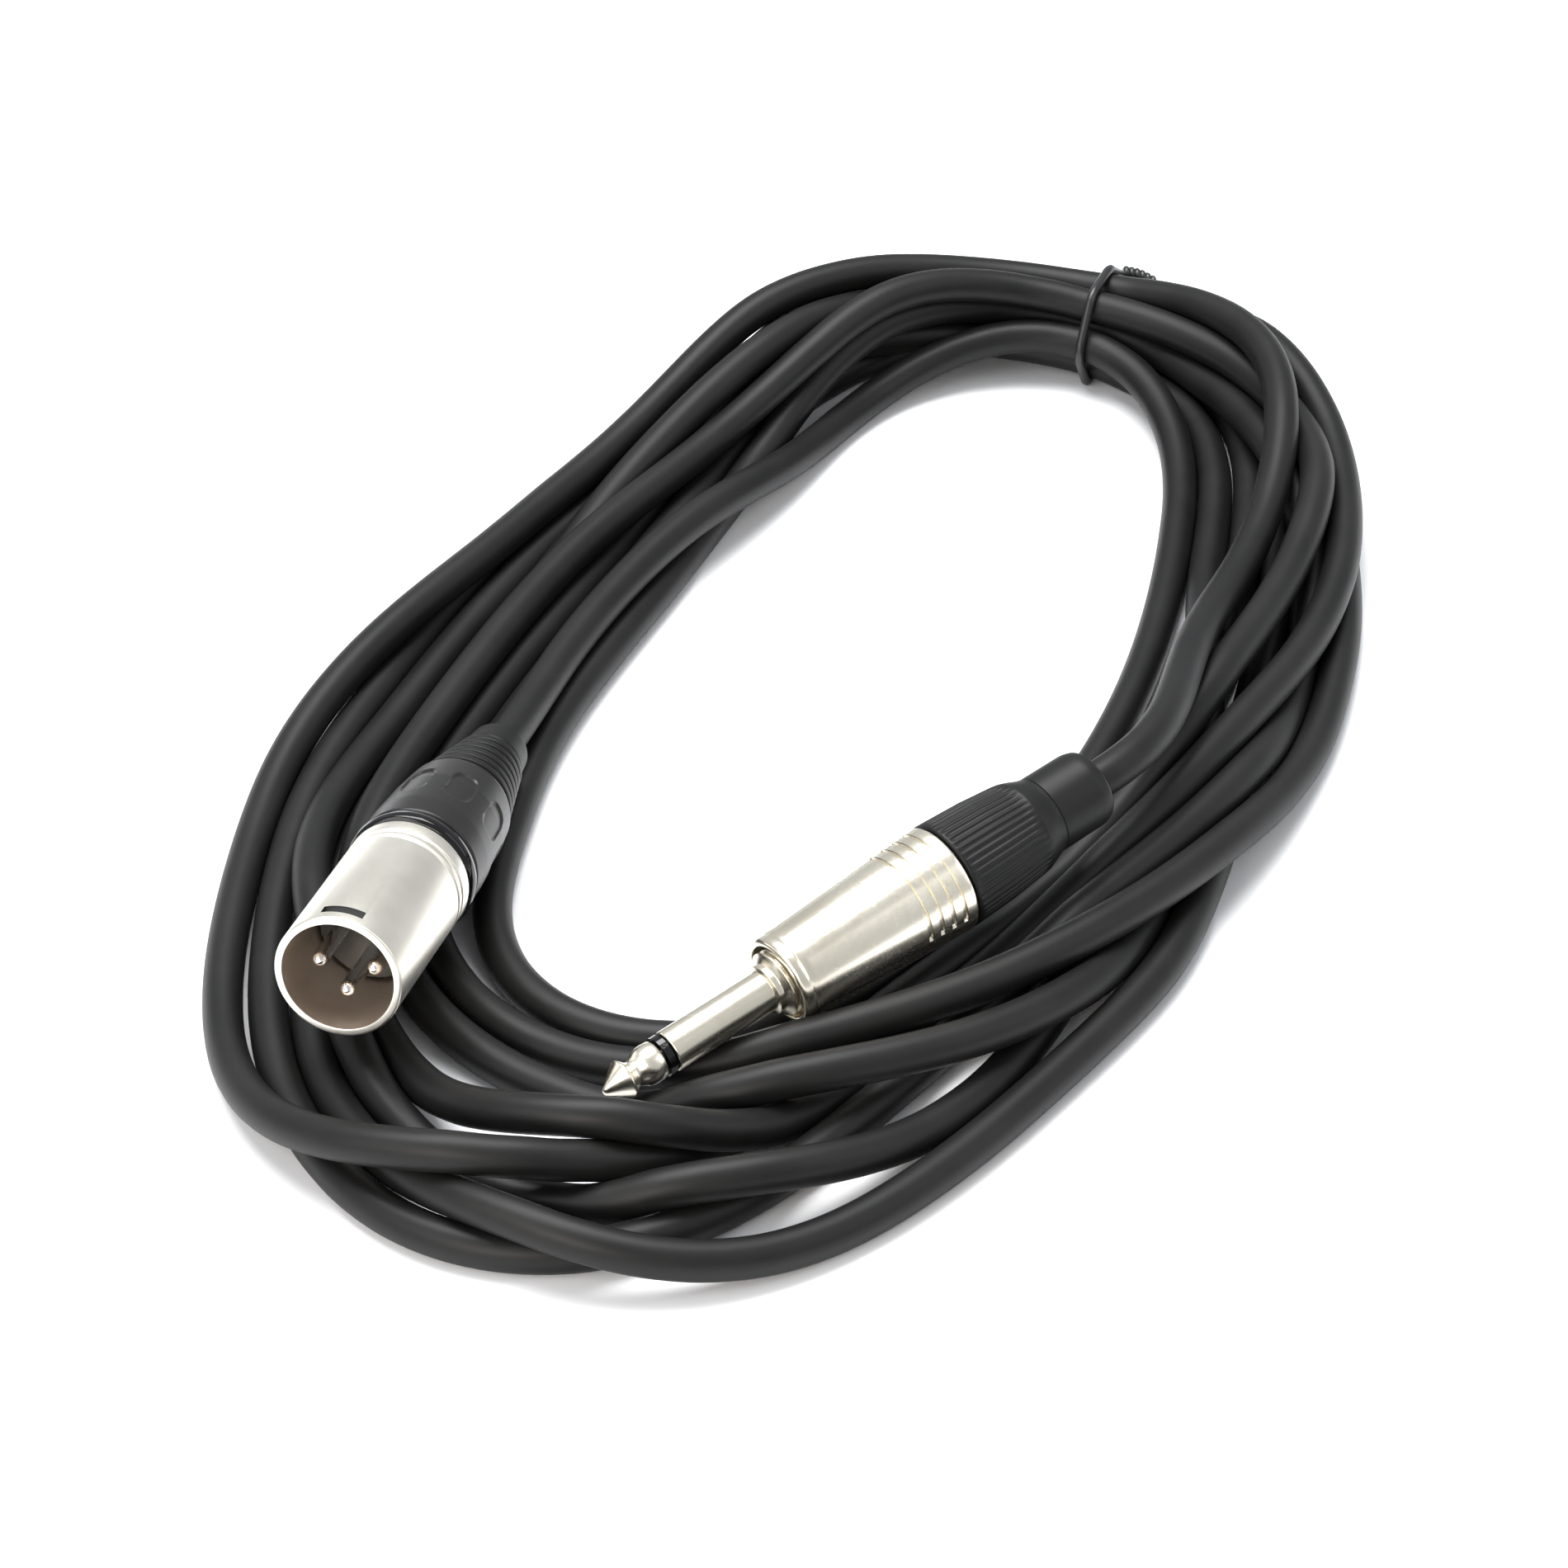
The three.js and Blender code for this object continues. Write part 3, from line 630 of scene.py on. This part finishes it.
centreline = smooth(route[::-1], 1.6 * MM)
cable = piece("cable", *sweep(centreline, CORD_D / 2), "root", "cable_jacket",
              FINISH["cable_jacket"], ("cord_coil", "cord_lead_xlr", "cord_lead_jack"),
              merge=False)
cable_length = float(np.linalg.norm(np.diff(centreline, axis=0), axis=1).sum())
print("cable:", len(centreline), "rings,", round(cable_length, 3), "m")

# %% [markdown]
# ## The XLR plug
# A nickel shell with a latch slot, the black insert and three pins inside it, a glossy coding
# ring, the charcoal gland nut with its finger recesses, and the ribbed boot.

# %% XLR shell and ring
def groove(r, y, width=.8, depth=.3):
    return [(r, y), (r - depth, y + .12), (r - depth, y + width - .12), (r, y + width)]


shell_line = soft([(8.35, 0), (9.25, 0), (9.5, .3), *groove(9.5, 27.4), *groove(9.5, 29.2),
                   (9.5, 32.7), (9.25, 33), (8.05, 33), (8.05, 27), (8.35, 26.8)], .12, 3)
shell = piece("xlr_shell_skin", *spin(shell_line, 160, XLR), "root", "satin_nickel",
              FINISH["satin_nickel"], ("xlr_shell",))
carve(shell, *brick((6.2, 1.9, 4), (0, 2.9, 9.5), XLR))
for lining in ("bore", "black_plastic"):
    shell.data.materials.append(FINISH[lining])
axis, mouth = pose(XLR)[0][:, 1], along(XLR, 0)
for face in shell.data.polygons:
    out = np.array(face.center) - mouth
    back = out @ axis
    wide = np.linalg.norm(out - back * axis)
    # the inside of the mouth takes the bore finish, whose lighter, warmer colour is a painted
    # reflection
    if wide < 8.42 * MM and back > .3 * MM:
        face.material_index = 1
    elif wide < 9.4 * MM and 1.8 * MM < back < 3.8 * MM:
        face.material_index = 2
ring_line = soft([(8.05, 33.3), (9.3, 33.3), (9.85, 33.75), (10, 34.7), (9.85, 35.65),
                  (9.3, 36.1), (8.05, 36.1)], .25, 4)
piece("xlr_ring_gloss", *spin(ring_line, 128, XLR), "root", "gloss_ring",
      FINISH["gloss_ring"], ("xlr_coding_ring",))


# %% XLR nut and boot
def recesses(radius, back, turn):
    """Eight shallow finger recesses with a crisp rim, round the nut's waist."""
    near = abs((turn / (tau / 8)) % 1 - .5) * tau / 8 * 9.3 / 2.3
    edge = (near**3.2 + abs((back - 48.8) / 4.4)**3.2)**(1 / 3.2)
    dip = np.clip((1.0 - edge) / .12, 0, 1)
    return np.where(radius > 7.9, radius - .32 * dip * dip * (3 - 2 * dip), radius)


top = [(9.3, 36.5), (9.65, 36.9)] + [(9.65, 36.9 + k * .3) for k in range(1, 16)]
top += [(9.65 - .45 * k / 30, 41.5 + k * .3) for k in range(1, 31)]
top += [(9.2 - .7 * k / 24, 50.5 + k * .295) for k in range(1, 25)]
nut_line = soft([(6.7, 27.2), (7.75, 27.2), (7.75, 36.5), *top, (8.1, 58.5), (6.6, 58.5),
                 (6.6, 57), (7.3, 56.8), (7.3, 50.6), (6.7, 50.3)], .18, 2)
piece("xlr_nut_skin", *spin(nut_line, 256, XLR, recesses), "xlr_nut", "nut_plastic",
      FINISH["nut_plastic"], ("xlr_nut",))

ribs = []
for k in range(6):
    y, r = 59.4 + 2.4 * k, 7.85 - .40 * k
    ribs += [(r - .8, y), (r, y + .35), (r - .1, y + 1.75), (r - .9, y + 2.05)]
boot_line = soft([(3.4, 52), (7, 52), (7, 56.5), (6.25, 56.5), (6.25, 58.9), (7, 58.9), *ribs,
                  (5.3, 74.3), (5.0, 77), (4.8, 79.4), (4.3, 80.4), (3.4, 80.4)], .28, 4)
piece("xlr_boot_skin", *spin(boot_line, 128, XLR), "xlr_boot", "boot_rubber",
      FINISH["boot_rubber"], ("xlr_boot",))


# %% XLR pins and insert
NOSE = [(1.175 * sin(t), 3.5 + 1.5 * (1 - cos(t))) for t in np.linspace(0, pi / 2, 9)]
PIN_PLACES = [np.array([4.1 * cos(turn), 0, 4.1 * sin(turn)]) * MM for turn in
              (pi, 0, pi * 1.5)]
for k, across in enumerate(PIN_PLACES):
    verts, faces = spin(np.array(NOSE + [(1.175, 26.85), (0, 26.85)]), 40)
    verts += across
    piece(f"xlr_pin_{k + 1}_skin", settle_in(verts, XLR), faces, "root", "contact_metal",
          FINISH["contact_metal"], (f"xlr_pin_{k + 1}",))
inner = soft([(0, 15.5), (7.7, 15.5), (8, 15.8), (8, 26.5), (0, 26.5)], .1, 3)
inner = np.concatenate([[(0, 15.5)], inner[4:-4], [(0, 26.5)]])
insert = piece("xlr_insert_skin", *spin(inner, 96, XLR), "root", "black_plastic",
               FINISH["black_plastic"], ("xlr_insert",))
for across in PIN_PLACES:
    verts, faces = spin(np.array([(0, 14.5), (1.5, 14.5), (1.5, 27.5), (0, 27.5)]), 32)
    carve(insert, settle_in(verts + across, XLR), faces)

# %% [markdown]
# ## The jack plug
# A cone tip with a waist and ball, a black ring, the shaft with its stepped collar, a tapered
# barrel with four grooves, a finely ribbed gland nut and a plain collar behind it.

# %% Jack tip and shaft
tip_line = [(0, 0), (.25, .03), (.5, .14), (.8, .5), (2.9, 3.42), (3.03, 3.6), (3.05, 3.75),
            (2.98, 3.92), (2.6, 4.35), (2.2, 4.8), (2.02, 5.1), (2.0, 5.35), (2.1, 5.7),
            (2.4, 6.2), (2.75, 6.8), (2.95, 7.4), (3.02, 8.0), (2.98, 8.8), (2.9, 9.5),
            (2.8, 9.6), (1.2, 9.6), (1.2, 37.9), (0, 37.9)]
piece("jack_tip_skin", *spin(np.array(tip_line), 96, JACK), "root", "bright_nickel",
      FINISH["bright_nickel"], ("jack_tip",), sharp=50)
ridges = []
for k in range(4):
    y = 30.6 + 1.0 * k
    ridges += [(4.6, y), (5.15, y + .3), (5.15, y + .62), (4.6, y + .85)]
shaft_line = soft([(2.55, 11.45), (3.0, 11.45), (3.175, 11.62), (3.175, 29), (3.9, 29.2),
                   (3.9, 30.1), *ridges, (5.5, 34.6), (5.5, 36), (2.55, 36)], .1, 3)
piece("jack_sleeve_skin", *spin(shaft_line, 112, JACK), "root", "bright_nickel",
      FINISH["bright_nickel"], ("jack_sleeve",))


# %% Jack barrel
def grooves(radius, back, turn):
    """Four grooves that stop short at two plain strips."""
    strip = abs(np.sin(turn + .5)) * radius
    open_part = np.clip((strip - 2.6) / .3, 0, 1)
    cut = np.zeros_like(radius)
    for k in range(4):
        y = 53.2 + 2.1 * k
        sides = np.clip((back - y) / .12, 0, 1) * np.clip((y + .8 - back) / .12, 0, 1)
        cut = np.maximum(cut, sides)
    return np.where(radius > 7.45, radius - .4 * cut * open_part, radius)


wall = [(7.0 + 1.6 * (y - 32.5) / 29.8, y) for y in np.arange(33.5, 52.6, 1.0)]
wall += [(7.0 + 1.6 * (y - 32.5) / 29.8, y) for y in np.arange(52.9, 61.2, .06)]
barrel_line = np.concatenate([
    soft([(5.9, 36.6), (5.9, 31.5), (6.5, 31.5), (6.9, 31.9), (7.0, 32.5), (7.03, 33)], .3, 4)[5:],
    wall, [(8.57, 61.7), (8.56, 62.0), (8.45, 62.2), (8.3, 62.3), (7.2, 62.3), (7.2, 54),
           (7.0, 53.7), (7.0, 37.2), (5.9, 36.6)]])
piece("jack_barrel_skin", *spin(barrel_line, 200, JACK, grooves), "root", "bright_nickel",
      FINISH["bright_nickel"], ("jack_barrel",), sharp=30)


# %% Jack nut and collar
def flutes(radius, back, turn):
    """Forty-eight fine ribs, which fade out at both ends."""
    fade = np.clip((back - 63.2) / .5, 0, 1) * np.clip((77.2 - back) / 1.2, 0, 1)
    wave = np.clip(np.cos(turn * 48) * 1.6 + .3, -1, 1)
    return np.where(radius > 7.2, radius - .11 * fade * (1 + wave), radius)


nut_top = [(8.5 - .35 * k / 14, 63.4 + k * .53) for k in range(15)]
nut_top += [(8.15 - .6 * k / 12, 70.8 + k * .5) for k in range(1, 13)]
jack_nut_line = np.concatenate([
    [(6.0, 55), (6.85, 55), (6.85, 62.7), (8.15, 62.7), (8.4, 62.85), (8.5, 63.1)], nut_top,
    soft([(7.5, 77.4), (7.1, 78.7), (6.35, 80.6), (6.2, 81.3), (6.15, 81.5),
          (5.25, 81.5), (5.25, 79.1),
          (6.0, 78.9)], .35, 4)[2:]])
piece("jack_nut_skin", *spin(jack_nut_line, 480, JACK, flutes), "jack_nut", "boot_rubber",
      FINISH["boot_rubber"], ("jack_nut",), sharp=50)
collar_line = soft([(3.4, 74), (5.65, 74), (5.65, 78.5), (4.9, 78.5), (4.9, 81.55),
                    (5.95, 81.55), (6.12, 81.6), (6.15, 81.8), (6.1, 89.4), (5.7, 90.9),
                    (4.9, 91.4), (3.7, 91.4), (3.4, 88)], .6, 5)
piece("jack_collar_skin", *spin(collar_line, 96, JACK), "jack_boot", "boot_rubber",
      FINISH["boot_rubber"], ("jack_boot",))

# %% [markdown]
# ## The tie
# A thin black band round the nine lengths of cable, and the short twist that closes it.

# %% Tie band and twist
BAND_R, TWIST_R = .85 * MM, .62 * MM
BAND_OUT = .77 * MM  # from the jackets to the middle of the band
tie_at = np.append(way(np.array([0.0]))[0] - HANK_CENTRE, 0)
tie_ahead = (way(np.array([.02])) - way(np.array([-.02])))[0]
tie_ahead = np.append(tie_ahead / np.linalg.norm(tie_ahead), 0)
tie_out = np.array([tie_ahead[1], -tie_ahead[0], 0])
near_tie = centreline[abs((centreline - tie_at) @ tie_ahead) < 1.2 * MM]
near_tie = near_tie[np.linalg.norm((near_tie - tie_at)[:, :2], axis=1) < 26 * MM]
flat = np.column_stack([(near_tie - tie_at) @ tie_out, near_tie[:, 2]])
band = []
for turn in np.arange(96) / 96 * tau:  # the band's radius where each direction is tangent
    d = np.array([cos(turn), sin(turn)])
    band.append(flat[np.argmax(flat @ d)] + d * (CORD_D / 2 + BAND_OUT))
band = np.array(band)
band[:, 1] = np.maximum(band[:, 1], .87 * MM)  # clear of the floor
loop = tie_at + np.outer(band[:, 0], tie_out) + np.outer(band[:, 1], (0, 0, 1))
loop = smooth(np.concatenate([loop[-3:], loop, loop[:3]]), .5 * MM)
print("tie:", len(near_tie), "cable points, band", (np.ptp(flat, axis=0) / MM).round(1))


def closed_tube(line, radius, around=12):
    """A tube round a closed line."""
    side, up = frames(np.concatenate([line[-1:], line, line[:1]]))
    return rings(line, side[1:-1], up[1:-1], radius, around), grid(len(line), around)


loop = evenly(loop, .5 * MM)
gap = np.linalg.norm(loop[20:] - loop[0], axis=1)
loop = loop[:20 + int(np.argmin(gap))]
piece("tie_band", *closed_tube(loop, BAND_R), "root", "tie_plastic", FINISH["tie_plastic"],
      ("tie_loop",), merge=False)
crown = band[13]  # high on the outer side
UP = np.array([0, 0, 1.0])
f = np.linspace(0, 1, 90)[:, None]
reach = -tie_ahead * (f - .06) * 6.2 * MM
lift = (.75 + .5 * np.sin(f * pi) - .9 * f) * MM
spine = tie_at + crown[0] * tie_out + (0, 0, crown[1]) + reach + lift * UP
for k in range(2):  # two wires, three turns round each other, drawn in at the free end
    turn = f * tau * 3 + k * pi
    wide = (.75 - .25 * f) * MM
    strand = spine + wide * (np.cos(turn) * tie_out + np.sin(turn) * UP)
    piece(f"tie_twist_wire_{k + 1}", *sweep(strand, TWIST_R, 12), "root", "tie_plastic",
          FINISH["tie_plastic"], ("tie_twist",), merge=False)

# %% [markdown]
# ## The part's own solids that stay in sight
# They keep their shapes and get the finishes above by their material slots.

# %% Carried-over solids
slots = {m["slot"] for m in frame["record"]["materials"]}
for name, part in frame["nodes"].items():
    for k, old in enumerate(part.data.materials):
        slot = old.name.split(".")[0]
        if slot not in slots:
            raise SystemExit(f"{name} has no known finish: {slot}")
        part.data.materials[k] = FINISH[slot]
print("carried over:", len(frame["nodes"]), "solids, finishes:", len(slots))

# %% [markdown]
# ## Studio
# A pale floor, a pale surround, one wide soft light above, weaker ones from the left and the
# right, and a small one that shines into the XLR's mouth.

# %% Floor and lights
floor_mesh = bpy.data.meshes.new("floor")
floor_mesh.from_pydata([(-4, -4, 0), (4, -4, 0), (4, 4, 0), (-4, 4, 0)], [], [(0, 1, 2, 3)])
floor = bpy.data.objects.new("floor", floor_mesh)
bpy.context.collection.objects.link(floor)
pale = Finish("floor", Base_Color=rgb(.90, .905, .92), Roughness=.7)
floor_mesh.materials.append(pale.material)

world = bpy.data.worlds.new("surround")
world.use_nodes = True
world.node_tree.nodes["Background"].inputs["Color"].default_value = rgb(.95, .97, 1.0)
world.node_tree.nodes["Background"].inputs["Strength"].default_value = .56
bpy.context.scene.world = world


def softbox(name, at, aim, size, power, colour=(1, 1, 1)):
    """A soft rectangular light: its place, what it faces, its size in metres and its watts."""
    light = bpy.data.lights.new(name, "AREA")
    light.shape, light.size, light.size_y = "RECTANGLE", size[0], size[1]
    light.energy, light.color = power, colour
    made = bpy.data.objects.new(name, light)
    made.location = at
    made.rotation_euler = (Vector(aim) - Vector(at)).to_track_quat("-Z", "Y").to_euler()
    bpy.context.collection.objects.link(made)


softbox("overhead", (-.15, .25, 1.1), (0, 0, 0), (1.0, .7), 24)
softbox("front left", (-.9, -.7, .8), (0, 0, 0), (.9, .9), 7)
softbox("right", (1.0, -.2, .7), (0, 0, 0), (.7, .9), 3)
facing = along(XLR, 0) - .3 * pose(XLR)[0][:, 1] + (0, 0, .08)
softbox("into the plug", facing, along(XLR, 5 * MM), (.12, .12), .5, (1, .93, .85))
bpy.context.scene.view_settings.view_transform = "Standard"

# %% [markdown]
# ## The last step
# The view layer is brought up to date, and the place where the XLR's boot ends is worked out.

# %% Finish
bpy.context.view_layer.update()
tuple(along(XLR, XLR_BOOT_END))
